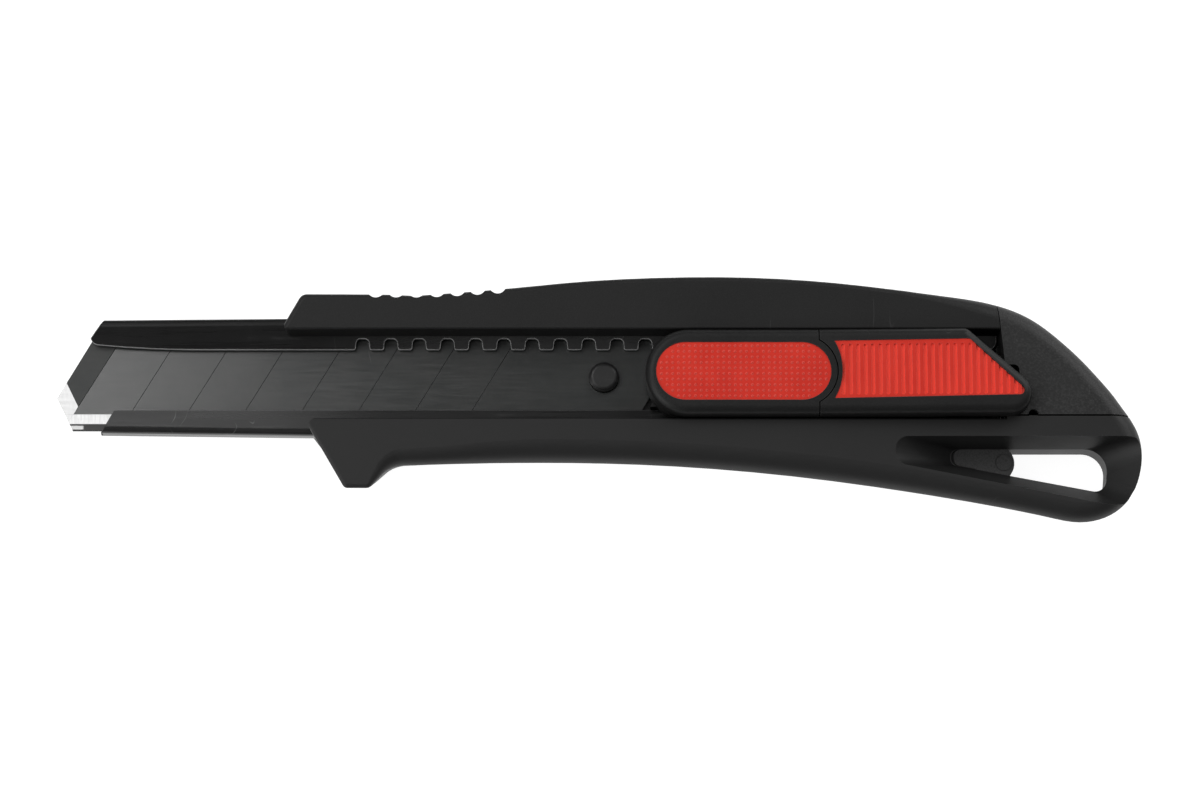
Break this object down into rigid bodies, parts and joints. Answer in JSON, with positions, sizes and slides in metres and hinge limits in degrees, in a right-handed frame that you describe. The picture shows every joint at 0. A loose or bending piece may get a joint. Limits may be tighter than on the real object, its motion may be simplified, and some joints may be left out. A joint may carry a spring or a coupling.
{
  "type": "snap-off utility knife",
  "caption": "Black snap-off utility knife with a sliding blade carrier, auto-lock thumb slider with red grips, removable end cap and a lanyard hole.",
  "frame": {"origin": "on the flat back face, at mid length, on the centre line of the steel channel", "axes": "+X towards the tail, the blade points to -X; +Y from the finger guard to the thumb rest; +Z out of the slider side"},
  "size_m": [0.1908, 0.0434, 0.0185],
  "materials": {
    "handle_plastic": "fine matt moulded black",
    "cap_plastic": "grained moulded black",
    "slider_plastic": "fine matt moulded black",
    "red_rubber": "soft matt red",
    "black_steel": "black satin coated steel sheet",
    "blade_steel": "black oxide with bright ground edge",
    "stud_black": "black coated steel",
    "bright_steel": "plain bright steel",
    "spring_steel": "drawn spring steel"
  },
  "bodies": {
    "handle": {"handle_body": "handle_plastic", "blade_channel": "black_steel", "channel_rivets": "bright_steel"},
    "cap": {"end_cap": "cap_plastic"},
    "slider": {"blade": "blade_steel", "blade_carrier": "black_steel", "blade_stud": "stud_black", "carrier_rivets": "bright_steel", "slider_base": "slider_plastic", "slider_leaf_spring": "spring_steel", "pawl_pin": "bright_steel", "pawl_spring": "spring_steel", "pad_return_springs": "spring_steel", "rear_cover": "slider_plastic", "rear_cover_grip": "red_rubber", "rear_cover_screws": "bright_steel"},
    "thumb_pad": {"thumb_pad": "slider_plastic", "thumb_pad_grip": "red_rubber", "thumb_pad_pins": "bright_steel"},
    "pawl": {"lock_pawl": "bright_steel"}
  },
  "joints": [
    {"name": "blade_slide", "type": "slide", "parent": "handle", "child": "slider", "axis": [-1, 0, 0], "range_m": [-0.01, 0.05]},
    {"name": "pad_press", "type": "slide", "parent": "slider", "child": "thumb_pad", "axis": [0, 0, -1], "range_m": [0, 0.001], "stiffness_N_per_m": 1500, "springref_m": -0.001, "deforming": ["pad_return_springs"]},
    {"name": "pawl_pivot", "type": "hinge", "parent": "slider", "child": "pawl", "pos_m": [0.032, 0.0016, 0.0073], "axis": [0, 0, 1], "range_deg": [0, 8], "deforming": ["pawl_spring"]},
    {"name": "cap_slide", "type": "slide", "parent": "handle", "child": "cap", "axis": [1, 0, 0], "range_m": [0, 0.03]}
  ],
  "couplings": [
    {"joint": "pawl_pivot", "follows": "pad_press", "rad_per_m": 130}
  ]
}
